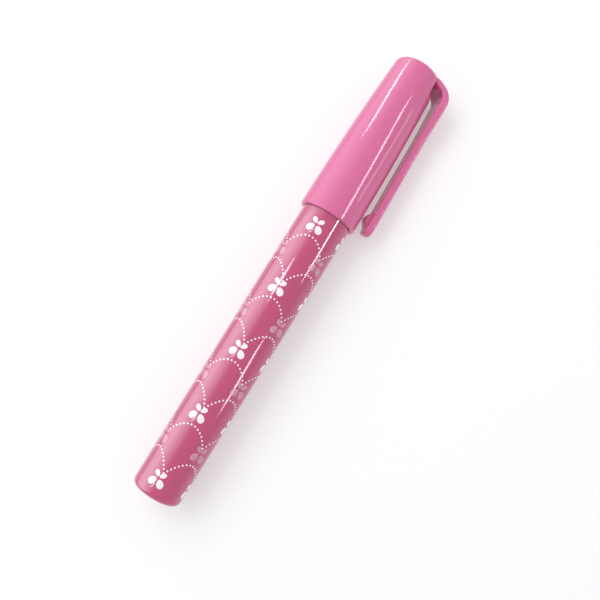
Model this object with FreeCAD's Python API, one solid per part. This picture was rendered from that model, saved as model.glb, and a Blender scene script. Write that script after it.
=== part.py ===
"""Refillable twist-up fabric glue pen with a capped nose and a pocket clip.

The pen lies along X with +X towards the top of its cap and +Z up. The origin is on
the pen's axis, at the barrel's front face, where the cap closes against the barrel.
All sizes are in millimetres.
"""
import FreeCAD
import Part

import math
import os

V = FreeCAD.Vector

# ---------------------------------------------------------------- driving sizes
barrel_length = 84.6
barrel_radius = 7.0
barrel_draft = 0.28
barrel_land = 14.0
barrel_wall = 1.1
barrel_end_wall = 1.6
barrel_end_rounding = 1.7
barrel_end_crown = 0.35

cap_length = 48.7
cap_taper = 1.4
cap_wall = 1.25
cap_mouth_gap = 0.35
cap_crown = 3.4
cap_top_rounding = 1.3
cap_rim_rounding = 0.5
cap_seat_gap = 0.1

neck_length = 7.0
neck_step = 0.5
neck_rounding = 0.6
snap_height = 0.15
snap_width = 1.0
snap_from_seam = 3.6
guide_length = 16.0
guide_wall = 1.02

refill_length = 53.0
refill_shoulder = 0.6
refill_nose_length = 12.0
refill_nose_reach = 20.0
refill_nose_wall = 0.6
refill_tail_wall = 0.79

screw_flange_width = 1.6
screw_hub_radius = 2.6
screw_hub_length = 2.6
screw_radius = 1.35
tail_ring_width = 1.2
tail_ring_bore = 2.9
key_across = 2.6
key_depth = 3.4

glue_travel = 17.0
screw_engagement = 3.5
piston_head = 2.4
piston_shank_wall = 1.09
glue_recess = 1.0
glue_dome = 0.35
glue_edge_rounding = 0.5

post_radius = 2.2
post_stop_inset = 0.4
post_stop_width = 1.2
post_socket_radius = 2.55
post_socket_depth = 5.0
post_socket_wall = 1.2

liner_wall = 0.8
liner_overlap = 9.0
liner_flange = 1.2
liner_ledge = 0.29

clip_roll = 20.0
clip_thickness = 2.2
clip_root_thickness = 1.6
clip_root_width = 9.0
clip_arm_width = 5.7
clip_flare_start = 4.3
clip_flare_length = 11.5
clip_tip_from_seam = 1.9
clip_tip_room = 2.05
clip_shoulder_room = 2.25
clip_shoulder_drop = 2.1
clip_slope_inset = 1.2
clip_seam_inset = 2.0
clip_shoulder_rounding = 5.0
clip_edge_rounding = 0.6
clip_tip_rounding = 2.0
clip_root_rounding = 1.0
clip_tongue_thickness = 0.85
clip_tongue_length = 1.8
clip_tongue_width = 6.0
clip_tongue_skin = 0.5
clip_pad_centre = 6.1
clip_pad_length = 5.2
clip_pad_width = 3.6
clip_pad_rounding = 1.6
clip_window_length = 4.6
clip_window_margin = 0.25
clip_window_rounding = 1.5

# ------------------------------------------------------------- named clearances
run_gap = 0.06
seat_gap = 0.02
slide_gap = 0.08
key_gap = 0.08
clip_gap = 0.15
pad_gap = 0.15
end_gap = 0.3

# ----------------------------------------------------- derived radii and reaches
barrel_tail_radius = barrel_radius - barrel_draft
neck_radius = barrel_radius - neck_step
guide_radius = barrel_radius - barrel_wall - seat_gap
refill_radius = guide_radius - guide_wall - run_gap
refill_nose_radius = refill_radius - refill_shoulder
refill_bore = refill_nose_radius - refill_nose_wall
screw_flange_radius = refill_radius - refill_tail_wall - run_gap
piston_radius = refill_bore - slide_gap
piston_bore = screw_radius + run_gap
piston_shank_radius = piston_bore + piston_shank_wall
post_stop_radius = refill_radius - post_stop_inset
liner_bore = refill_nose_radius + run_gap
liner_radius = liner_bore + liner_wall
liner_seat_radius = liner_radius + liner_ledge
cap_rim_radius = neck_radius + cap_mouth_gap + cap_wall
cap_top_radius = cap_rim_radius - cap_taper
cap_bow = (cap_length ** 2 + cap_taper ** 2) / (2 * cap_taper)
clip_tip_reach = cap_rim_radius + clip_tip_room + clip_thickness
clip_shoulder_reach = cap_top_radius + clip_shoulder_room + clip_thickness
clip_inner_rounding = clip_shoulder_rounding - clip_thickness
clip_slope_start = cap_top_radius - clip_slope_inset
clip_seam = cap_top_radius - clip_seam_inset

# -------------------------------------------------------------- derived places
tail_x = -barrel_length
cap_rim_x = cap_seat_gap
cap_top_x = cap_seat_gap + cap_length
cap_crown_x = cap_top_x - cap_crown
refill_tip_x = refill_nose_reach
refill_tail_x = refill_tip_x - refill_length
refill_step_x = refill_tip_x - refill_nose_length
screw_back_x = refill_tail_x + tail_ring_width + run_gap
screw_flange_x = screw_back_x + screw_flange_width
screw_hub_x = screw_flange_x + screw_hub_length
screw_end_x = screw_hub_x + end_gap + glue_travel + screw_engagement
piston_back_x = screw_hub_x + end_gap
piston_front_x = screw_end_x + end_gap + piston_head
glue_tip_x = refill_tip_x - glue_recess
liner_mouth_x = refill_tip_x - liner_overlap
liner_end_x = glue_tip_x + glue_travel + end_gap
post_stop_x = refill_tail_x - run_gap
clip_shoulder_x = cap_top_x - clip_shoulder_drop
clip_hinge_x = cap_top_x - clip_tongue_skin - clip_tongue_thickness / 2

LENGTHWISE = V(1, 0, 0)
MARGIN = 1.0
SHARP_ANGLE = math.radians(20)


# ------------------------------------------------------------------ small tools
def rounded_wire(corners):
    """Closed wire in the XY plane through (x, y, rounding) corners."""
    starts = []
    ends = []
    count = len(corners)
    for i, (x, y, rounding) in enumerate(corners):
        here = V(x, y, 0)
        before = V(*corners[i - 1][:2], 0) - here
        after = V(*corners[(i + 1) % count][:2], 0) - here
        setback = rounding / math.tan(before.getAngle(after) / 2) if rounding else 0
        starts.append(here + before.normalize() * setback)
        ends.append(here + after.normalize() * setback)
    edges = []
    for i, (x, y, rounding) in enumerate(corners):
        if rounding:
            here = V(x, y, 0)
            chord = (starts[i] + ends[i]) / 2
            half = (starts[i] - ends[i]).Length / 2
            sagitta = rounding - math.sqrt(rounding ** 2 - half ** 2)
            middle = chord + (here - chord).normalize() * sagitta
            edges.append(Part.Arc(starts[i], middle, ends[i]).toShape())
        following = starts[(i + 1) % count]
        if (following - ends[i]).Length > 1e-6:
            edges.append(Part.LineSegment(ends[i], following).toShape())
    return Part.Wire(edges)


def turned(corners):
    """Solid turned about X from the (x, radius) or (x, radius, rounding) outline."""
    full = [(c + (0,))[:3] for c in corners]
    return Part.Face(rounded_wire(full)).revolve(V(0, 0, 0), LENGTHWISE, 360)


def turned_edges(edges):
    """Solid turned about X from the edges of one closed outline."""
    wire = Part.Wire(Part.__sortEdges__(edges))
    return Part.Face(wire).revolve(V(0, 0, 0), LENGTHWISE, 360)


def slab(wire, width):
    """The wire's face as thick as width, centred on the XY plane."""
    face = Part.Face(wire)
    face.translate(V(0, 0, -width / 2))
    return face.extrude(V(0, 0, width))


def hexagon_bar(across, start_x, length):
    """A bar along X with a six-sided section."""
    corner = across / math.sqrt(3)
    angles = [math.radians(60 * i) for i in range(7)]
    ring = [V(start_x, corner * math.cos(a), corner * math.sin(a)) for a in angles]
    return Part.Face(Part.makePolygon(ring)).extrude(V(length, 0, 0))


def circle_edges(solid, x, radius):
    """The solid's round edges about the X axis at x with that radius."""
    found = []
    for edge in solid.Edges:
        curve = edge.Curve
        if curve.TypeId != "Part::GeomCircle":
            continue
        if abs(curve.Center.x - x) < 1e-4 and abs(curve.Radius - radius) < 1e-3:
            found.append(edge)
    return found


def save(shape, name):
    """Write one sub-part as a clean single solid."""
    solid = shape.removeSplitter()
    if len(solid.Solids) != 1 or not solid.isValid():
        raise RuntimeError(name + " is not one sound solid")
    solid.Solids[0].exportStep("parts/" + name + ".step")


# ----------------------------------------------------------------------- barrel
def barrel_outside(x):
    """Outer radius of the barrel: a straight land, then a slight draft."""
    along = max(0.0, -x - barrel_land) / (barrel_length - barrel_land)
    return barrel_radius - along * (barrel_radius - barrel_tail_radius)


def make_barrel():
    """Long tube with a softly crowned closed end and a socket for the drive post."""
    inner_tail = tail_x + barrel_end_wall
    tail_inside = barrel_outside(inner_tail) - barrel_wall
    shell = turned([
        (tail_x, 0),
        (tail_x + barrel_end_crown, barrel_tail_radius, barrel_end_rounding),
        (-barrel_land, barrel_radius),
        (0, barrel_radius),
        (0, barrel_radius - barrel_wall),
        (-barrel_land, barrel_radius - barrel_wall),
        (inner_tail, tail_inside, barrel_end_rounding / 2),
        (inner_tail, 0),
    ])
    socket = turned([
        (inner_tail - barrel_end_wall / 2, post_socket_radius),
        (inner_tail + post_socket_depth, post_socket_radius),
        (inner_tail + post_socket_depth, post_socket_radius + post_socket_wall),
        (inner_tail - barrel_end_wall / 2, post_socket_radius + post_socket_wall),
    ])
    return shell.fuse(socket)


def make_collar():
    """Neck that the cap snaps on, with a long spigot that guides the refill."""
    bore = refill_radius + run_gap
    ridge = neck_radius + snap_height
    ridge_start = snap_from_seam - snap_width / 2
    ridge_end = snap_from_seam + snap_width / 2
    slope = snap_height * 1.5
    return turned([
        (-guide_length, bore),
        (-guide_length, guide_radius, neck_rounding / 2),
        (0, guide_radius),
        (0, neck_radius),
        (ridge_start - slope, neck_radius),
        (ridge_start, ridge),
        (ridge_end, ridge),
        (ridge_end + slope, neck_radius),
        (neck_length, neck_radius, neck_rounding),
        (neck_length, bore),
    ])


def make_drive_post():
    """Post from the barrel's closed end up to the refill, with a six-sided key."""
    foot_x = tail_x + barrel_end_wall
    foot_top_x = foot_x + post_socket_depth
    body = turned([
        (foot_x, 0),
        (foot_x, post_socket_radius - seat_gap),
        (foot_top_x, post_socket_radius - seat_gap),
        (foot_top_x + post_socket_radius - post_radius, post_radius),
        (post_stop_x - post_stop_width, post_radius),
        (post_stop_x - post_stop_width, post_stop_radius),
        (post_stop_x, post_stop_radius),
        (post_stop_x, 0),
    ])
    reach = screw_back_x + key_depth - end_gap - post_stop_x
    return body.fuse(hexagon_bar(key_across, post_stop_x, reach))


# ----------------------------------------------------------------------- refill
def make_refill_tube():
    """White cartridge tube with a slimmer nose and a counterbored tail."""
    counterbore = screw_flange_radius + run_gap
    step_x = screw_flange_x + run_gap
    return turned([
        (refill_tail_x, counterbore),
        (refill_tail_x, refill_radius, 0.3),
        (refill_step_x, refill_radius, 0.3),
        (refill_step_x + refill_shoulder, refill_nose_radius),
        (refill_tip_x, refill_nose_radius, 0.25),
        (refill_tip_x, refill_bore, 0.15),
        (step_x, refill_bore),
        (step_x, counterbore),
    ])


def make_tail_ring():
    """Ring pressed into the tube's tail that keeps the drive screw in."""
    outer = screw_flange_radius + run_gap - seat_gap
    back = refill_tail_x
    return turned([
        (back, tail_ring_bore),
        (back, outer),
        (back + tail_ring_width, outer),
        (back + tail_ring_width, tail_ring_bore),
    ])


def make_drive_screw():
    """Screw that the piston rides on; its hub has a six-sided socket for the key."""
    body = turned([
        (screw_back_x, 0),
        (screw_back_x, screw_flange_radius),
        (screw_flange_x, screw_flange_radius),
        (screw_flange_x, screw_hub_radius),
        (screw_hub_x, screw_hub_radius, 0.2),
        (screw_hub_x, screw_radius),
        (screw_end_x, screw_radius, 0.4),
        (screw_end_x, 0),
    ])
    socket_start = screw_back_x - MARGIN
    socket = hexagon_bar(key_across + 2 * key_gap, socket_start, key_depth + MARGIN)
    return body.cut(socket)


def make_piston():
    """Piston with a long hollow shank that holds the screw's nut."""
    head_back_x = piston_front_x - piston_head
    return turned([
        (piston_back_x, piston_bore),
        (piston_back_x, piston_shank_radius, 0.3),
        (head_back_x, piston_shank_radius),
        (head_back_x, piston_radius, 0.2),
        (piston_front_x, piston_radius),
        (piston_front_x, 0),
        (head_back_x, 0),
        (head_back_x, piston_bore),
    ])


def make_glue_stick():
    """Stick of glue with a softly crowned tip."""
    return turned([
        (piston_front_x, 0),
        (piston_front_x, piston_radius),
        (glue_tip_x - glue_dome, piston_radius, glue_edge_rounding),
        (glue_tip_x, 0),
    ])


# -------------------------------------------------------------------------- cap
def cap_outside(x, inset=0.0):
    """Radius of the cap's bowed side at x, or of a surface inset from it."""
    bow = cap_bow - inset
    along = x - cap_rim_x
    return cap_rim_radius - cap_bow + math.sqrt(bow ** 2 - along ** 2)


def cap_arc(x_start, x_end, inset):
    """Arc of the cap's bowed side between two places, inset from the outside."""
    middle = (x_start + x_end) / 2
    points = [V(x, cap_outside(x, inset), 0) for x in (x_start, middle, x_end)]
    return Part.Arc(*points).toShape()


def cap_blank():
    """The cap's turned shell before its window and clip seat are cut."""
    mouth = V(cap_rim_x, cap_outside(cap_rim_x, cap_wall), 0)
    rim = V(cap_rim_x, cap_rim_radius, 0)
    top = V(cap_top_x, cap_outside(cap_top_x), 0)
    seat_x = liner_end_x + liner_flange
    ledge = V(seat_x, cap_outside(seat_x, cap_wall), 0)
    lip = V(seat_x, liner_seat_radius - MARGIN / 2, 0)
    ceiling = V(cap_crown_x, liner_seat_radius - MARGIN / 2, 0)
    edges = [
        Part.LineSegment(mouth, rim).toShape(),
        cap_arc(cap_rim_x, cap_top_x, 0.0),
        Part.LineSegment(top, V(cap_top_x, 0, 0)).toShape(),
        Part.LineSegment(V(cap_top_x, 0, 0), V(cap_crown_x, 0, 0)).toShape(),
        Part.LineSegment(V(cap_crown_x, 0, 0), ceiling).toShape(),
        Part.LineSegment(ceiling, lip).toShape(),
        Part.LineSegment(lip, ledge).toShape(),
        cap_arc(cap_rim_x, seat_x, cap_wall),
    ]
    blank = turned_edges(edges)
    blank = blank.makeFillet(cap_top_rounding, circle_edges(blank, cap_top_x, top.y))
    blank = blank.makeFillet(cap_rim_rounding, circle_edges(blank, cap_rim_x, rim.y))
    return blank.makeChamfer(cap_rim_rounding / 2, circle_edges(blank, cap_rim_x, mouth.y))


def snap_bead():
    """Low bead inside the cap that rides over the neck's ridge."""
    x = snap_from_seam + snap_width + 3 * snap_height
    wall = cap_outside(x, cap_wall)
    inner = neck_radius + snap_height + run_gap
    return turned([
        (x, wall + cap_wall / 2),
        (x, inner),
        (x + snap_width / 2, inner),
        (x + snap_width, wall + cap_wall / 2),
    ])


def clip_arm_inner(x):
    """Reach of the arm's inner face at x."""
    fall = (clip_tip_reach - clip_shoulder_reach) / (clip_shoulder_x - clip_tip_from_seam)
    return clip_tip_reach - fall * (x - clip_tip_from_seam) - clip_thickness


def clip_underside():
    """Where the root's sloping underside leaves the crown and meets the arm."""
    slope = V(clip_shoulder_x - cap_top_x, clip_shoulder_reach - clip_slope_start, 0)
    slope.normalize()
    under = V(cap_top_x, clip_slope_start, 0) + V(-slope.y, slope.x, 0) * clip_root_thickness
    fall = clip_arm_inner(0) - clip_arm_inner(1)
    bend = under + slope * ((clip_arm_inner(under.x) - under.y) / (slope.y + fall * slope.x))
    root = under + slope * ((clip_seam - under.y) / slope.y)
    return root, bend


def clip_side_outline():
    """Side view of the clip, as corners of (x, reach from the axis, rounding)."""
    root, bend = clip_underside()
    tip_x = clip_tip_from_seam
    return [
        (cap_top_x, clip_seam, 0),
        (cap_top_x, clip_slope_start, 0),
        (clip_shoulder_x, clip_shoulder_reach, clip_shoulder_rounding),
        (tip_x, clip_tip_reach, 0),
        (tip_x, clip_arm_inner(tip_x), 0),
        (bend.x, bend.y, clip_inner_rounding),
        (root.x, clip_seam, 0),
    ]


def clip_front_outline():
    """Front view of the clip: a broad root that flares down to the slim arm."""
    root = clip_root_width / 2
    arm = clip_arm_width / 2
    flare_top = cap_top_x - clip_flare_start
    flare_end = flare_top - clip_flare_length
    tip_x = clip_tip_from_seam
    return [
        (cap_top_x, root, clip_root_rounding),
        (flare_top, root, clip_flare_length / 1.5),
        (flare_end, arm, clip_flare_length),
        (tip_x, arm, clip_tip_rounding),
        (tip_x, -arm, clip_tip_rounding),
        (flare_end, -arm, clip_flare_length),
        (flare_top, -root, clip_flare_length / 1.5),
        (cap_top_x, -root, clip_root_rounding),
    ]


def clip_pad():
    """Grip pad under the arm, slimmer than the arm, that presses on the cap."""
    pad_start = clip_pad_centre - clip_pad_length / 2
    pad_end = clip_pad_centre + clip_pad_length / 2
    embedded = clip_thickness / 2
    block = slab(rounded_wire([
        (pad_start, clip_arm_inner(pad_start), 0),
        (clip_pad_centre, cap_outside(clip_pad_centre) + pad_gap, clip_pad_rounding),
        (pad_end, clip_arm_inner(pad_end), 0),
        (pad_end, clip_arm_inner(pad_end) + embedded, 0),
        (pad_start, clip_arm_inner(pad_start) + embedded, 0),
    ]), clip_pad_width)
    lowest = clip_arm_inner(pad_start) - MARGIN / 10
    cheeks = [edge for edge in block.Edges if edge.CenterOfMass.y < lowest and is_sharp(edge, block)]
    return block.makeFillet(clip_edge_rounding, cheeks)


def tongue(grow):
    """Tongue at the clip's root that is held inside the cap's crown."""
    x_low = clip_hinge_x - clip_tongue_thickness / 2 - grow
    height = clip_tongue_thickness + 2 * grow
    inner = clip_seam - clip_tongue_length - grow
    depth = clip_tongue_length + MARGIN / 2 + grow
    width = clip_tongue_width + 2 * grow
    return Part.makeBox(height, depth, width, V(x_low, inner, -width / 2))


def place_clip(shape):
    """Turn a shape drawn towards +Y to where the clip is, below -Y."""
    shape.rotate(V(0, 0, 0), LENGTHWISE, 180 + clip_roll)
    return shape


def is_sharp(edge, body):
    """Whether the body's two faces meet at an angle along the edge."""
    middle = edge.valueAt((edge.FirstParameter + edge.LastParameter) / 2)
    faces = [face for face in body.Faces if any(edge.isSame(e) for e in face.Edges)]
    first, second = [face.normalAt(*face.Surface.parameter(middle)) for face in faces]
    return first.getAngle(second) > SHARP_ANGLE


def clip_edges_to_round(body):
    """The sharp edges all round the clip, but none where it meets the crown."""
    chosen = []
    for edge in body.Edges:
        lowest = min(vertex.Point.y for vertex in edge.Vertexes)
        if lowest > clip_seam + 1e-3 and is_sharp(edge, body):
            chosen.append(edge)
    return chosen


def make_clip():
    """Pocket clip with a broad root, a slim arm and a grip pad near its tip."""
    side = slab(rounded_wire(clip_side_outline()), 2 * clip_root_width)
    front = Part.Face(rounded_wire(clip_front_outline()))
    front.rotate(V(0, 0, 0), LENGTHWISE, 90)
    body = side.common(front.extrude(V(0, 2 * clip_tip_reach, 0))).removeSplitter()
    body = body.makeFillet(clip_edge_rounding, clip_edges_to_round(body))
    return place_clip(body.fuse([clip_pad(), tongue(0)]))


def clip_seat():
    """What the cap gives up for the clip: seam, tongue slot and window."""
    low, bend = clip_underside()
    inner = clip_seam - clip_gap
    root = slab(rounded_wire([
        (cap_top_x + MARGIN, inner, 0),
        (cap_top_x + MARGIN, bend.y, 0),
        (bend.x - clip_gap, bend.y, 0),
        (low.x - clip_gap, inner, 0),
    ]), clip_root_width + 2 * clip_gap)
    window_width = clip_root_width + 2 * clip_window_margin
    window_top = cap_top_x - clip_root_thickness
    window_bottom = window_top - clip_window_length
    window = slab(rounded_wire([
        (window_bottom, -window_width / 2, clip_window_rounding),
        (window_top, -window_width / 2, 0),
        (window_top, window_width / 2, 0),
        (window_bottom, window_width / 2, clip_window_rounding),
    ]), 2 * cap_rim_radius)
    window.rotate(V(0, 0, 0), LENGTHWISE, 90)
    window.translate(V(0, clip_seam - clip_gap + cap_rim_radius, 0))
    return place_clip(root.fuse([window, tongue(clip_gap)]))


def make_cap():
    """Bowed cap shell with its closed crown, window and clip seat."""
    return cap_blank().fuse(snap_bead()).cut(clip_seat())


def make_inner_cap():
    """Thin sealed cup inside the cap that slips over the refill's nose."""
    flange_x = liner_end_x + liner_flange
    return turned([
        (liner_mouth_x, liner_bore, 0.2),
        (liner_mouth_x, liner_radius, 0.2),
        (liner_end_x, liner_radius),
        (liner_end_x, liner_seat_radius),
        (flange_x, liner_seat_radius),
        (flange_x, 0),
        (liner_end_x, 0),
        (liner_end_x, liner_bore),
    ])


PIECES = {
    "barrel_tube": make_barrel,
    "front_collar": make_collar,
    "drive_post": make_drive_post,
    "drive_screw": make_drive_screw,
    "refill_tube": make_refill_tube,
    "refill_tail_ring": make_tail_ring,
    "piston": make_piston,
    "glue_stick": make_glue_stick,
    "cap_shell": make_cap,
    "inner_cap": make_inner_cap,
    "pocket_clip": make_clip,
}


def main():
    os.makedirs("parts", exist_ok=True)
    for name, make in PIECES.items():
        save(make(), name)


main()
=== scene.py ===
import math

import bpy
from bpy.props import FloatProperty, FloatVectorProperty, IntProperty, PointerProperty
from bpy.types import Operator, Panel, PropertyGroup, Scene
from bpy.utils import register_class, unregister_class
from mathutils import Matrix, Vector


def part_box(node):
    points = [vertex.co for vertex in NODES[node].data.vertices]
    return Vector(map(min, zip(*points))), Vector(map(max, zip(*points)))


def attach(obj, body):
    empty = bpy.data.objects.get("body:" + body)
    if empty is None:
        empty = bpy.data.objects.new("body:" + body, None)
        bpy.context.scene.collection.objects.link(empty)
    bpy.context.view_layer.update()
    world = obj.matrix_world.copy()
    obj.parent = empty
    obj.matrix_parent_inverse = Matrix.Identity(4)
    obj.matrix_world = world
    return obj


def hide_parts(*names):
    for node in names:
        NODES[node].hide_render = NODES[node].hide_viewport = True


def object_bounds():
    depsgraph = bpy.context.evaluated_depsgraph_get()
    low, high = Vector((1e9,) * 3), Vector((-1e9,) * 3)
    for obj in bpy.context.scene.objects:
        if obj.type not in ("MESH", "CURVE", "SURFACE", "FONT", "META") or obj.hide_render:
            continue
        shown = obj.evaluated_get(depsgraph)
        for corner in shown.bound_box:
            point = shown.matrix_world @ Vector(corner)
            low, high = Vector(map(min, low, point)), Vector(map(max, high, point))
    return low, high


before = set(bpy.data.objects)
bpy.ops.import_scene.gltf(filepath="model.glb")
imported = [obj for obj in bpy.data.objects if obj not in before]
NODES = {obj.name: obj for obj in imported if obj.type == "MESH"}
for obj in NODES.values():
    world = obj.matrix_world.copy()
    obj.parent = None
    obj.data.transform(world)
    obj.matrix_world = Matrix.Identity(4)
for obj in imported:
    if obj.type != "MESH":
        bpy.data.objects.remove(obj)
CAD_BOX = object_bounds()

bl_info = {
    "name": "Twist-up glue pen looks",
    "version": (1, 0, 0),
    "blender": (4, 5, 0),
    "location": "View3D > Sidebar > Glue pen",
    "description": "Finishes, printed pattern and studio for the twist-up glue pen",
    "category": "Object",
}

MM = 0.001
BARREL_LOW, BARREL_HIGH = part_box("barrel_tube")
CAP_LOW, CAP_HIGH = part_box("cap_shell")
BARREL_LENGTH = -BARREL_LOW.x
BARREL_LAND = 14.0 * MM
BARREL_TAIL_RADIUS = 6.72 * MM
CAP_RIM_RADIUS = CAP_HIGH.y
MERGE_DISTANCE = 0.0005 * MM
BOW_TOLERANCE = 0.02 * MM
WELD_DISTANCE = 0.001 * MM
FLOOR_GAP = 0.02 * MM
FLOOR_SIZE = 4.0
BARE_END = 2.4 * MM
SEAM_RIGHT = 7.04 * MM
SEAM_DOWN = -21.71 * MM
FLOOR_Z = min(CAD_BOX[0].z, CAP_LOW.z, BARREL_LOW.z)

# The motif's wings on one side: length, width, forward and aside, then their sweep in degrees.
FRONT_WING = (2.35 * MM, 1.80 * MM, -1.20 * MM, 1.18 * MM)
BACK_WING = (1.85 * MM, 1.20 * MM, 0.95 * MM, 0.85 * MM)
FRONT_SWEEP = 38
BACK_SWEEP = 48

# The key light: its place from the pen's middle, its size and its power.
KEY_PLACE = (0.10, 0.30, 0.42)
KEY_SIZE = (0.45, 0.35)
KEY_POWER = 1.35
WORLD_STRENGTH = 0.80

# The wide soft panels towards +Y, nested: each wider one stands a gap further off.
# A side is its name, its far end along the pen and its radiance.
PANEL_WIDTHS = (0.05, 0.10, 0.16, 0.22, 0.29, 0.37, 0.46, 0.60)
PANEL_TURN = 70
PANEL_GAP = 3 * MM
PANEL_COLOR = (0.8, 0.95, 1.0)
PANEL_SIDES = (("barrel", -0.20, 0.48), ("cap", 0.20, 0.30))

# The thin bright strips: name, start, end, width and radiance.
STRIPS = (
    ("cap_strip", (0.030, 50), (0.056, 66), 0.020, 16.0),
    ("long_strip", (-0.018, -56), (0.046, -30), 0.018, 14.0),
    ("soft_strip", (0.008, -69), (0.044, -72), 0.030, 2.8),
    ("short_strip", (-0.025, 24), (-0.018, 30), 0.020, 10.0),
    ("tail_strip", (-0.057, -54), (-0.038, -44), 0.018, 10.0),
)


# ------------------------------------------------------------------ user's settings
class PrintSettings(PropertyGroup):
    """Sizes of the pattern printed on the barrel."""
    columns: IntProperty(
        name="Columns", description="Lines of motifs round the barrel, white and pale in turn",
        default=8, min=4, max=12, step=2)
    rows: IntProperty(name="Rows", description="White motifs along the barrel", default=5, min=2, max=8)
    pitch: FloatProperty(
        name="Row pitch", description="Distance between white motifs along the barrel",
        default=18.7 * MM, unit="LENGTH", precision=4)
    first: FloatProperty(
        name="First row", description="From the cap's seam to the first white motif",
        default=4.1 * MM, unit="LENGTH", precision=4)
    stagger: FloatProperty(
        name="Stagger", description="How far the pale motifs start behind the white ones",
        default=8.85 * MM, unit="LENGTH", precision=4)
    arc_offset: FloatProperty(
        name="Arc offset", description="How far round the barrel the dotted arcs are shifted",
        default=0.49 * MM, unit="LENGTH", precision=5)
    pale_offset: FloatProperty(
        name="Pale offset", description="How far round the barrel the pale motifs are shifted",
        default=0.2 * MM, unit="LENGTH", precision=5)
    pale_spread: FloatProperty(
        name="Pale spread", description="How far the pale motifs stand back from the barrel's face",
        default=0.6 * MM, unit="LENGTH", precision=5)
    arc_reach: FloatProperty(
        name="Arc reach", description="Half the width of a dotted arc",
        default=5.45 * MM, unit="LENGTH", precision=4)
    arc_ahead: FloatProperty(
        name="Arc ahead", description="From a motif's middle to its dotted arc",
        default=3.5 * MM, unit="LENGTH", precision=4)
    arc_bow: FloatProperty(
        name="Arc bow", description="How sharply the arcs of the white motifs bend, per metre", default=130.0)
    pale_arc_bow: FloatProperty(
        name="Pale arc bow", description="How sharply the arcs of the pale motifs bend, per metre",
        default=160.0)
    dot_pitch: FloatProperty(
        name="Dot pitch", description="Distance between dots", default=1.0 * MM, unit="LENGTH", precision=4)
    dot_radius: FloatProperty(
        name="Dot radius", description="Radius of a dot", default=0.25 * MM, unit="LENGTH", precision=5)
    ink_height: FloatProperty(
        name="Ink height", description="How far the ink stands above the plastic",
        default=0.02 * MM, unit="LENGTH", precision=5)


class FinishSettings(PropertyGroup):
    """Colours of the pen's plastics."""
    barrel: FloatVectorProperty(
        name="Barrel", description="Barrel plastic", subtype="COLOR", size=3, default=(0.50, 0.055, 0.165))
    cap: FloatVectorProperty(
        name="Cap", description="Cap and clip plastic", subtype="COLOR", size=3, default=(0.66, 0.145, 0.315))
    ink: FloatVectorProperty(
        name="Ink", description="Opaque white ink", subtype="COLOR", size=3, default=(0.88, 0.82, 0.86))
    pale_ink: FloatVectorProperty(
        name="Pale ink", description="Thin see-through ink", subtype="COLOR", size=3,
        default=(0.60, 0.25, 0.38))
    refill: FloatVectorProperty(
        name="Refill", description="Refill tube plastic", subtype="COLOR", size=3, default=(0.85, 0.84, 0.82))
    glue: FloatVectorProperty(
        name="Glue", description="Glue stick", subtype="COLOR", size=3, default=(0.74, 0.26, 0.46))
    cap_taper: FloatProperty(
        name="Cap taper", description="How much slimmer the bowed cap is at its top than at its rim",
        default=1.4 * MM, unit="LENGTH", precision=4)


class StageSettings(PropertyGroup):
    """Where the camera stands and how it turns, tilts and rolls towards the pen."""
    distance: FloatProperty(
        name="Distance", description="Camera's depth to the cap's seam", default=187.5 * MM, unit="LENGTH")
    lens: FloatProperty(name="Lens", description="Focal length in millimetres", default=42.0)
    turn: FloatProperty(
        name="Turn", description="The pen's turn across the view", subtype="ANGLE",
        default=math.radians(121.74))
    tilt: FloatProperty(
        name="Tilt", description="How far the barrel rises towards the camera",
        subtype="ANGLE", default=math.radians(6.24))
    roll: FloatProperty(
        name="Roll", description="How far the camera leans to the pen's far side",
        subtype="ANGLE", default=math.radians(10.0))


# ----------------------------------------------------------------------- node maths
class Sock:
    """A node socket, of a material or a node group, that takes part in Python expressions."""

    def __init__(self, tree, socket):
        self.tree = tree
        self.socket = socket

    def math(self, operation, *others):
        inputs = {i: value for i, value in enumerate((self, *others))}
        return self.tree.node("ShaderNodeMath", inputs, operation=operation)

    def __add__(self, other):
        return self.math("ADD", other)

    def __radd__(self, other):
        return self.math("ADD", other)

    def __sub__(self, other):
        return self.math("SUBTRACT", other)

    def __rsub__(self, other):
        return self.tree.node("ShaderNodeMath", {0: other, 1: self}, operation="SUBTRACT")

    def __mul__(self, other):
        return self.math("MULTIPLY", other)

    def __truediv__(self, other):
        return self.math("DIVIDE", other)

    def __pow__(self, other):
        return self.math("POWER", other)


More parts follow.
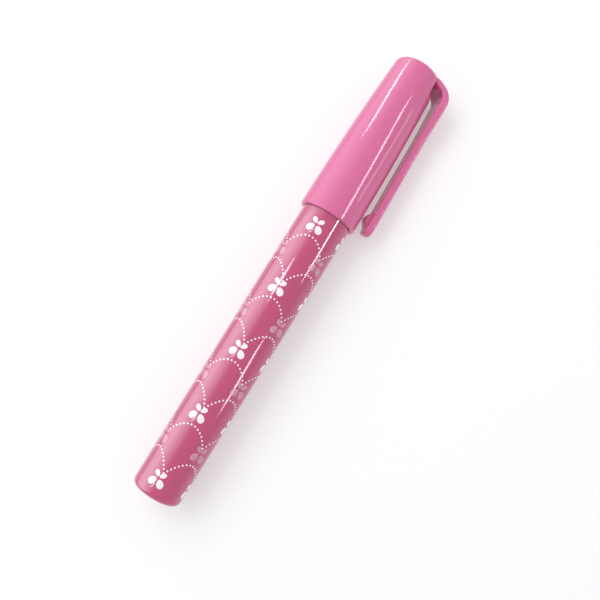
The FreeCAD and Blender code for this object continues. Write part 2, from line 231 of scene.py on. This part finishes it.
class Tree:
    """A material's nodes, made by one method."""

    def __init__(self, name):
        self.material = bpy.data.materials.new(name)
        self.material.use_nodes = True
        self.nodes = self.material.node_tree.nodes
        self.links = self.material.node_tree.links
        self.nodes.clear()

    def node(self, kind, inputs=None, output=0, **settings):
        made = self.nodes.new(kind)
        for key, value in settings.items():
            setattr(made, key, value)
        for key, value in (inputs or {}).items():
            target = made.inputs[key]
            if isinstance(value, Sock):
                self.links.new(value.socket, target)
            else:
                target.default_value = value
        return Sock(self, made.outputs[output])

    def place(self, scale=(1.0, 1.0, 1.0)):
        """The point on the piece in its own coordinates, scaled."""
        coordinates = self.node("ShaderNodeTexCoord", output="Object")
        return self.node("ShaderNodeMapping", {"Vector": coordinates, "Scale": scale})

    def noise(self, scale, detail=2.0, roughness=0.5, stretch=(1.0, 1.0, 1.0)):
        inputs = {"Vector": self.place(stretch), "Scale": scale, "Detail": detail, "Roughness": roughness}
        return self.node("ShaderNodeTexNoise", inputs)

    def mix(self, factor, first, second):
        """A colour between two others."""
        def rgba(value):
            return value if isinstance(value, Sock) else (*value, 1.0)
        inputs = {0: factor, 6: rgba(first), 7: rgba(second)}
        return self.node("ShaderNodeMix", inputs, output=2, data_type="RGBA")

    def bump(self, height, strength, distance):
        return self.node("ShaderNodeBump", {"Height": height, "Strength": strength, "Distance": distance})

    def finish(self, **inputs):
        """Ends the tree in one Principled shader and returns the material."""
        named = {key.replace("_", " "): value for key, value in inputs.items()}
        shader = self.node("ShaderNodeBsdfPrincipled", named)
        output = self.nodes.new("ShaderNodeOutputMaterial")
        self.links.new(shader.socket, output.inputs["Surface"])
        return self.material


def shade(color, factor):
    """A colour made lighter or darker."""
    return tuple(min(1.0, part * factor) for part in color)


# ------------------------------------------------------------------------ materials
def moulded_gloss(name, color, ior, coat, roughness=0.07, depth=0.03):
    """Polished moulded plastic: slight colour flow, fine orange peel and faint handling marks."""
    tree = Tree(name)
    flow = tree.noise(60.0, 2.0, stretch=(0.4, 1.0, 1.0))
    base = tree.mix(flow, shade(color, 1.0 - depth), shade(color, 1.0 + depth))
    marks = tree.noise(900.0, 4.0, 0.6)
    peel = tree.noise(420.0, 2.0)
    return tree.finish(
        Base_Color=base, Roughness=marks * 0.04 + (roughness - 0.02), Normal=tree.bump(peel, 0.01, 0.00003),
        IOR=ior, Coat_Weight=coat, Coat_Roughness=0.03)


def satin_plastic(name, color, roughness=0.38):
    """Plain moulded plastic with a fine even texture."""
    tree = Tree(name)
    flow = tree.noise(80.0, 2.0)
    base = tree.mix(flow, shade(color, 0.94), shade(color, 1.04))
    grain = tree.noise(2600.0, 3.0, 0.6)
    return tree.finish(
        Base_Color=base, Roughness=grain * 0.16 + (roughness - 0.08), Normal=tree.bump(grain, 0.12, 0.00003),
        IOR=1.47)


def printed_ink(name, color, roughness=0.32):
    """Screen ink, a little uneven in its cover."""
    tree = Tree(name)
    cover = tree.noise(1500.0, 3.0, 0.6)
    base = tree.mix(cover, shade(color, 0.93), shade(color, 1.05))
    return tree.finish(Base_Color=base, Roughness=cover * 0.10 + (roughness - 0.05), IOR=1.5, Coat_Weight=0.5,
                       Coat_Roughness=0.08)


def waxy_glue(name, color):
    """Soft glue with drag marks along it."""
    tree = Tree(name)
    drag = tree.noise(700.0, 3.0, 0.6, stretch=(0.15, 1.0, 1.0))
    base = tree.mix(drag, shade(color, 0.85), shade(color, 1.12))
    return tree.finish(
        Base_Color=base, Roughness=drag * 0.2 + 0.28, Normal=tree.bump(drag, 0.25, 0.0001), IOR=1.46,
        Subsurface_Weight=0.15, Subsurface_Radius=(0.001, 0.001, 0.001))


def floor_white():
    """Matt white sweep that the pen lies on, lit softly from below."""
    tree = Tree("studio_floor")
    tone = tree.noise(3.0, 2.0)
    base = tree.mix(tone, (0.57, 0.57, 0.57), (0.59, 0.59, 0.59))
    return tree.finish(
        Base_Color=base, Roughness=0.8, IOR=1.3, Emission_Color=(1.0, 1.0, 1.0, 1.0), Emission_Strength=0.36)


def paint(node, material):
    """Gives a CAD node's object one material."""
    slots = NODES[node].data.materials
    slots.clear()
    slots.append(material)


# ------------------------------------------------------------------- geometry nodes
class Geo:
    """A geometry node group, made by one method, with named inputs."""

    def __init__(self, name):
        self.group = bpy.data.node_groups.new(name, "GeometryNodeTree")
        self.group.interface.new_socket("Geometry", in_out="OUTPUT", socket_type="NodeSocketGeometry")
        self.source = self.group.nodes.new("NodeGroupInput")
        self.sink = self.group.nodes.new("NodeGroupOutput")
        self.identifiers = {}

    def value(self, name, kind="NodeSocketFloat"):
        """A named input of the group, which build() gives its value."""
        made = self.group.interface.new_socket(name, in_out="INPUT", socket_type=kind)
        self.identifiers[name] = made.identifier
        return Sock(self, self.source.outputs[name])

    def node(self, kind, inputs=None, output=0, **settings):
        made = self.group.nodes.new(kind)
        for key, value in settings.items():
            setattr(made, key, value)
        for key, value in (inputs or {}).items():
            target = made.inputs[key]
            sources = value if isinstance(value, list) else [value]
            for source in sources:
                if isinstance(source, Sock):
                    self.group.links.new(source.socket, target)
                else:
                    target.default_value = source
        return Sock(self, made.outputs[output])

    def vector(self, x=0.0, y=0.0, z=0.0):
        return self.node("ShaderNodeCombineXYZ", {"X": x, "Y": y, "Z": z})

    def split(self):
        """The point's own x, y and z."""
        position = self.node("GeometryNodeInputPosition")
        parts = self.group.nodes.new("ShaderNodeSeparateXYZ")
        self.group.links.new(position.socket, parts.inputs[0])
        return [Sock(self, part) for part in parts.outputs]

    def move(self, geometry, position):
        """Sets every point's position."""
        return self.node("GeometryNodeSetPosition", {"Geometry": geometry, "Position": position})

    def end(self, geometry):
        self.group.links.new(geometry.socket, self.sink.inputs[0])

    def build(self, name, values):
        """A plain mesh object made by the group with those values."""
        holder = bpy.data.objects.new(name, bpy.data.meshes.new(name))
        bpy.context.scene.collection.objects.link(holder)
        modifier = holder.modifiers.new("make", "NODES")
        modifier.node_group = self.group
        for key, value in values.items():
            modifier[self.identifiers[key]] = value
        depsgraph = bpy.context.evaluated_depsgraph_get()
        mesh = bpy.data.meshes.new_from_object(holder.evaluated_get(depsgraph), depsgraph=depsgraph)
        holder.modifiers.remove(modifier)
        holder.data = mesh
        mesh.name = name
        return holder


def wing(geo, length, width, forward, aside, turn):
    """A rounded wing: a grid pressed into an egg shape, pointing away from the motif's middle."""
    grid = geo.node("GeometryNodeMeshGrid", {"Size X": 2.0, "Size Y": 2.0, "Vertices X": 9, "Vertices Y": 9})
    x, y, _ = geo.split()
    round_x = x * (1.0 - y * y * 0.5) ** 0.5
    round_y = y * (1.0 - x * x * 0.5) ** 0.5
    disc = geo.move(grid, geo.vector(round_x, round_y))
    x, y, _ = geo.split()
    egg = geo.move(disc, geo.vector(x * (length / 2), y * (width / 2) * (1.0 + x * 0.16)))
    return geo.node("GeometryNodeTransform", {
        "Geometry": egg, "Translation": (forward, aside, 0.0), "Rotation": (0.0, 0.0, turn)})


def feeler(geo, side):
    """A thin curved feeler at the motif's head."""
    strip = geo.node("GeometryNodeMeshGrid", {"Size X": 1.0, "Size Y": 1.0, "Vertices X": 9, "Vertices Y": 2})
    x, y, _ = geo.split()
    along = x + 0.5
    bent = along * along * (0.55 * MM) + 0.12 * MM
    return geo.move(strip, geo.vector(along * (-1.35 * MM) - 1.5 * MM, (bent + y * (0.16 * MM)) * side))


def motif(geo):
    """A winged motif lying flat, its head towards -X."""
    pieces = [feeler(geo, 1.0), feeler(geo, -1.0)]
    for side in (1.0, -1.0):
        length, width, forward, aside = FRONT_WING
        pieces.append(wing(geo, length, width, forward, aside * side, math.radians(180 - FRONT_SWEEP * side)))
        length, width, forward, aside = BACK_WING
        pieces.append(wing(geo, length, width, forward, aside * side, math.radians(BACK_SWEEP * side)))
    return geo.node("GeometryNodeJoinGeometry", {"Geometry": pieces})


def dotted_arc(geo, reach, ahead, bend, pitch, radius):
    """Dots along a bow ahead of the motif, opening towards -X."""
    line = geo.node("GeometryNodeCurvePrimitiveLine", {
        "Start": geo.vector(0.0, reach * -1.0), "End": geo.vector(0.0, reach)})
    fine = geo.node("GeometryNodeResampleCurve", {"Curve": line, "Count": 41})
    _, y, _ = geo.split()
    bow = geo.move(fine, geo.vector(y * y * bend * -1.0 - ahead, y))
    spots = geo.node("GeometryNodeResampleCurve", {"Curve": bow, "Length": pitch}, mode="LENGTH")
    points = geo.node("GeometryNodeCurveToPoints", {"Curve": spots}, mode="EVALUATED")
    dot = geo.node("GeometryNodeMeshCircle", {"Vertices": 12, "Radius": radius}, fill_type="NGON")
    return geo.node("GeometryNodeInstanceOnPoints", {"Points": points, "Instance": dot})


def wrapped(geo, flat, height, sizes):
    """Gives a flat pattern its thickness and wraps it round the barrel."""
    low = geo.node("GeometryNodeFlipFaces", {"Mesh": flat})
    top = geo.node("GeometryNodeExtrudeMesh", {
        "Mesh": flat, "Offset": (0.0, 0.0, 1.0), "Offset Scale": height * 2.0, "Individual": False})
    both = geo.node("GeometryNodeJoinGeometry", {"Geometry": [low, top]})
    closed = geo.node("GeometryNodeMergeByDistance", {"Geometry": both, "Distance": WELD_DISTANCE})
    x, y, z = geo.split()
    taper = (x * -1.0 - sizes["land"]).math("MAXIMUM", 0.0) * sizes["draft"]
    surface = sizes["radius"] - taper
    angle = y / sizes["radius"]
    out = surface + z - height
    return geo.move(closed, geo.vector(x, out * angle.math("SINE") * -1.0, out * angle.math("COSINE")))


def print_group(name, with_arcs):
    """The printed pattern as a geometry node group."""
    geo = Geo(name)
    columns = geo.value("Columns", "NodeSocketInt")
    rows = geo.value("Rows", "NodeSocketInt")
    step = geo.value("Column step")
    pitch = geo.value("Row pitch")
    first = geo.value("First row")
    aside = geo.value("Sideways")
    sizes = {
        "radius": geo.value("Barrel radius"),
        "land": geo.value("Straight length"),
        "draft": geo.value("Draft"),
    }
    height = geo.value("Ink height")
    limit = geo.value("Furthest dot")
    reach = geo.value("Arc reach")
    ahead = geo.value("Arc ahead")
    bend = geo.value("Arc bow")
    dot_pitch = geo.value("Dot pitch")
    dot_radius = geo.value("Dot radius")
    material = geo.value("Material", "NodeSocketMaterial")
    grid = geo.node("GeometryNodeMeshGrid", {
        "Size X": pitch * (rows - 1.0), "Size Y": step * (columns - 1.0),
        "Vertices X": rows, "Vertices Y": columns})
    x, y, _ = geo.split()
    start = first * -1.0 - pitch * (rows - 1.0) * 0.5
    spots = geo.move(grid, geo.vector(x + start, y + aside))
    motif_or_arc = dotted_arc(geo, reach, ahead, bend, dot_pitch, dot_radius) if with_arcs else motif(geo)
    placed = geo.node("GeometryNodeInstanceOnPoints", {"Points": spots, "Instance": motif_or_arc})
    flat = geo.node("GeometryNodeRealizeInstances", {"Geometry": placed})
    x, _, _ = geo.split()
    beyond = x.math("LESS_THAN", limit * -1.0)
    kept = geo.node("GeometryNodeDeleteGeometry", {"Geometry": flat, "Selection": beyond}, domain="FACE")
    solid = wrapped(geo, kept, height, sizes)
    geo.end(geo.node("GeometryNodeSetMaterial", {"Geometry": solid, "Material": material}))
    return geo


# ------------------------------------------------------------------------ operators
class PEN_OT_finishes(Operator):
    """Give every CAD piece its finish"""
    bl_idname = "pen.finishes"
    bl_label = "Finishes"

    def execute(self, context):
        colors = context.scene.pen_finish
        barrel = moulded_gloss("barrel_rose_gloss", tuple(colors.barrel), 1.5, 0.6)
        cap = moulded_gloss("cap_pink_gloss", tuple(colors.cap), 1.42, 0.1)
        white = satin_plastic("refill_white", tuple(colors.refill), 0.3)
        collar = satin_plastic("collar_white", shade(tuple(colors.refill), 0.97), 0.34)
        liner = satin_plastic("liner_rose", (0.66, 0.22, 0.38), 0.42)
        drive = satin_plastic("drive_natural", (0.62, 0.61, 0.58), 0.36)
        glue = waxy_glue("glue_rose", tuple(colors.glue))
        finishes = {
            "barrel_tube": barrel, "cap_shell": cap, "pocket_clip": cap, "front_collar": collar,
            "inner_cap": liner, "refill_tube": white, "refill_tail_ring": white, "drive_post": drive,
            "drive_screw": drive, "piston": drive, "glue_stick": glue,
        }
        missing = sorted(set(NODES) - set(finishes))
        if missing:
            raise RuntimeError("no finish for " + ", ".join(missing))
        for node, material in finishes.items():
            paint(node, material)
        return {"FINISHED"}


def merged(name, source):
    """A copy of a CAD mesh with its loose triangles joined up, and the copied corners' normals."""
    indices = {}
    spots = []
    remap = []
    for vertex in source.vertices:
        key = tuple(round(part / MERGE_DISTANCE) for part in vertex.co)
        if key not in indices:
            indices[key] = len(spots)
            spots.append(vertex.co[:])
        remap.append(indices[key])
    faces = []
    normals = []
    for polygon in source.polygons:
        corners = [remap[i] for i in polygon.vertices]
        if len(set(corners)) < 3:
            continue
        faces.append(corners)
        normals += [source.corner_normals[i].vector.copy() for i in polygon.loop_indices]
    mesh = bpy.data.meshes.new(name)
    mesh.from_pydata(spots, [], faces)
    mesh.shade_smooth()
    return mesh, normals


class PEN_OT_cap(Operator):
    """Give the bowed side of the cap an even curve for its highlights"""
    bl_idname = "pen.cap"
    bl_label = "Bowed cap"

    def execute(self, context):
        taper = context.scene.pen_finish.cap_taper
        length = CAP_HIGH.x - CAP_LOW.x
        bow = (length ** 2 + taper ** 2) / (2 * taper)
        centre = CAP_RIM_RADIUS - bow
        mesh, normals = merged("bowed_cap", NODES["cap_shell"].data)
        for polygon in mesh.polygons:
            even = []
            for i in polygon.vertices:
                x, y, z = mesh.vertices[i].co
                radius = math.hypot(y, z)
                out = Vector((x - CAP_LOW.x, (radius - centre) * y / radius, (radius - centre) * z / radius))
                even.append((abs(out.length - bow), out.normalized()))
            if max(off for off, _ in even) < BOW_TOLERANCE and polygon.normal.dot(even[0][1]) > 0.9:
                for corner, (_, normal) in zip(polygon.loop_indices, even):
                    normals[corner] = normal
        mesh.normals_split_custom_set(normals)
        mesh.materials.append(NODES["cap_shell"].data.materials[0])
        piece = bpy.data.objects.new("bowed_cap", mesh)
        context.scene.collection.objects.link(piece)
        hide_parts("cap_shell")
        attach(piece, "cap")
        return {"FINISHED"}


class PEN_OT_print(Operator):
    """Print the winged motifs and dotted arcs round the barrel"""
    bl_idname = "pen.printing"
    bl_label = "Printed pattern"

    def execute(self, context):
        sizes = context.scene.pen_print
        colors = context.scene.pen_finish
        white = printed_ink("white_ink", tuple(colors.ink))
        pale = printed_ink("pale_ink", tuple(colors.pale_ink))
        dots = print_group("dotted_arcs", True)
        motifs = print_group("winged_motifs", False)
        radius = BARREL_HIGH.z
        draft = (radius - BARREL_TAIL_RADIUS) / (BARREL_LENGTH - BARREL_LAND)
        step = 2 * math.pi * radius / sizes.columns
        shared = {
            "Columns": 1, "Column step": step, "Row pitch": sizes.pitch, "Barrel radius": radius,
            "Straight length": BARREL_LAND, "Draft": draft, "Ink height": sizes.ink_height,
            "Furthest dot": BARREL_LENGTH - BARE_END, "Arc reach": sizes.arc_reach,
            "Arc ahead": sizes.arc_ahead, "Dot pitch": sizes.dot_pitch, "Dot radius": sizes.dot_radius,
        }
        for column in range(sizes.columns):
            plain = column % 2 == 0
            rows = sizes.rows if plain else sizes.rows - 1
            first = sizes.first if plain else sizes.first + sizes.stagger
            around = step * (column - sizes.columns // 2)
            aside = 0.0 if plain else sizes.pale_offset + math.copysign(sizes.pale_spread, around)
            wings = motifs.build(f"motifs_column_{column}", {
                **shared, "Rows": rows, "First row": first, "Sideways": around + aside,
                "Material": white if plain else pale})
            arcs = dots.build(f"dots_column_{column}", {
                **shared, "Rows": sizes.rows - 1, "First row": first, "Sideways": around + sizes.arc_offset,
                "Arc bow": sizes.arc_bow if plain else sizes.pale_arc_bow, "Material": white})
            for piece in (wings, arcs):
                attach(piece, "barrel")
        return {"FINISHED"}


def softbox(name, place, target, size, power, along=None):
    """A rectangular light; along is the direction that its long side keeps to."""
    data = bpy.data.lights.new(name, "AREA")
    data.shape = "RECTANGLE"
    data.size, data.size_y = size
    data.energy = power
    lamp = bpy.data.objects.new(name, data)
    bpy.context.scene.collection.objects.link(lamp)
    back = (Vector(place) - Vector(target)).normalized()
    side = Vector(along or (1, 0, 0))
    side = (side - back * side.dot(back)).normalized()
    up = back.cross(side)
    basis = Matrix((side, up, back)).transposed().to_4x4()
    lamp.matrix_world = Matrix.Translation(Vector(place)) @ basis
    return lamp


def gloss_panel(name, camera, start, end, width, radiance, further=0.0):
    """A panel seen only as a reflection, between two places on the pen.

    Each place is a distance along the pen and a turn in degrees about its axis, from
    the camera's side towards +Y. The panel stands as far from the pen as the camera does,
    or a little further, so its reflection lies halfway round and is half as long.
    """
    eye = camera.location
    reach = math.hypot(eye.y, eye.z) + further
    ends = []
    for along, turn in (start, end):
        facing = math.atan2(eye.y, eye.z) + math.radians(turn)
        ends.append(Vector((2 * along - eye.x, reach * math.sin(facing), reach * math.cos(facing))))
    middle = (ends[0] + ends[1]) / 2
    length = (ends[1] - ends[0]).length
    power = radiance * math.pi * length * width
    panel = softbox(name, middle, Vector((middle.x, 0.0, 0.0)), (length, width), power, ends[1] - ends[0])
    panel.visible_diffuse = False
    panel.visible_camera = False
    return panel


class PEN_OT_stage(Operator):
    """Set the floor, the lights and the camera"""
    bl_idname = "pen.stage"
    bl_label = "Stage"

    def view_axes(self, stage):
        """The row frame's axes as the camera sees them: right, down and away."""
        along = Vector((math.cos(stage.turn) * math.cos(stage.tilt),
                        math.sin(stage.turn) * math.cos(stage.tilt), -math.sin(stage.tilt)))
        level = Vector((-math.sin(stage.turn), math.cos(stage.turn), 0.0))
        level = (level - along * level.dot(along)).normalized()
        toward = level.cross(along)
        if toward.z > 0:
            toward = -toward
        cos_roll, sin_roll = math.cos(stage.roll), math.sin(stage.roll)
        return [-along, level * cos_roll - toward * sin_roll, level * sin_roll + toward * cos_roll]

    def execute(self, context):
        stage = context.scene.pen_stage
        scene = context.scene
        axes = Matrix(self.view_axes(stage))
        seam = Vector((SEAM_RIGHT, SEAM_DOWN, stage.distance))
        data = bpy.data.cameras.new("camera")
        data.lens = stage.lens
        data.sensor_width = 36.0
        data.clip_start = 0.01
        camera = bpy.data.objects.new("camera", data)
        scene.collection.objects.link(camera)
        right, up, back = (axes @ Vector(v) for v in ((1, 0, 0), (0, -1, 0), (0, 0, -1)))
        turn = Matrix((right, up, back)).transposed().to_4x4()
        camera.matrix_world = Matrix.Translation(-(axes @ seam)) @ turn
        scene.camera = camera

        bpy.ops.mesh.primitive_plane_add(size=FLOOR_SIZE, location=(0, 0, FLOOR_Z - FLOOR_GAP))
        floor = context.active_object
        floor.name = "studio_floor"
        floor.data.transform(floor.matrix_world)
        floor.matrix_world = Matrix.Identity(4)
        floor.data.materials.append(floor_white())

        middle = (CAD_BOX[0] + CAD_BOX[1]) / 2
        key = softbox("key_softbox", middle + Vector(KEY_PLACE), middle, KEY_SIZE, KEY_POWER)
        key.visible_glossy = False
        for i, width in enumerate(PANEL_WIDTHS):
            for side, end, radiance in PANEL_SIDES:
                panel = gloss_panel(
                    f"{side}_panel_{i}", camera, (0.0, PANEL_TURN), (end, PANEL_TURN), width, radiance,
                    i * PANEL_GAP)
                panel.data.color = PANEL_COLOR
        for name, start, end, width, radiance in STRIPS:
            gloss_panel(name, camera, start, end, width, radiance)
        world = bpy.data.worlds.new("studio")
        world.use_nodes = True
        world.node_tree.nodes["Background"].inputs["Color"].default_value = (1.0, 1.0, 1.0, 1.0)
        world.node_tree.nodes["Background"].inputs["Strength"].default_value = WORLD_STRENGTH
        scene.world = world
        scene.view_settings.view_transform = "Standard"
        return {"FINISHED"}


class PEN_PT_sidebar(Panel):
    """Lists the pen's settings and steps"""
    bl_idname = "PEN_PT_sidebar"
    bl_label = "Glue pen"
    bl_space_type = "VIEW_3D"
    bl_region_type = "UI"
    bl_category = "Glue pen"

    def draw(self, context):
        layout = self.layout
        for group in ("pen_finish", "pen_print", "pen_stage"):
            settings = getattr(context.scene, group)
            box = layout.box()
            for name in settings.bl_rna.properties.keys():
                if name not in ("name", "rna_type"):
                    box.prop(settings, name)
        for operator in STEPS:
            layout.operator(operator.bl_idname)


GROUPS = {"pen_print": PrintSettings, "pen_finish": FinishSettings, "pen_stage": StageSettings}
STEPS = (PEN_OT_finishes, PEN_OT_cap, PEN_OT_print, PEN_OT_stage)


def register():
    for cls in (*GROUPS.values(), *STEPS, PEN_PT_sidebar):
        register_class(cls)
    for name, group in GROUPS.items():
        setattr(Scene, name, PointerProperty(type=group))


def unregister():
    for name in GROUPS:
        delattr(Scene, name)
    for cls in reversed((*GROUPS.values(), *STEPS, PEN_PT_sidebar)):
        unregister_class(cls)


def main():
    register()
    bpy.ops.pen.finishes()
    bpy.ops.pen.cap()
    bpy.ops.pen.printing()
    bpy.ops.pen.stage()


if __name__ == "__main__":
    main()
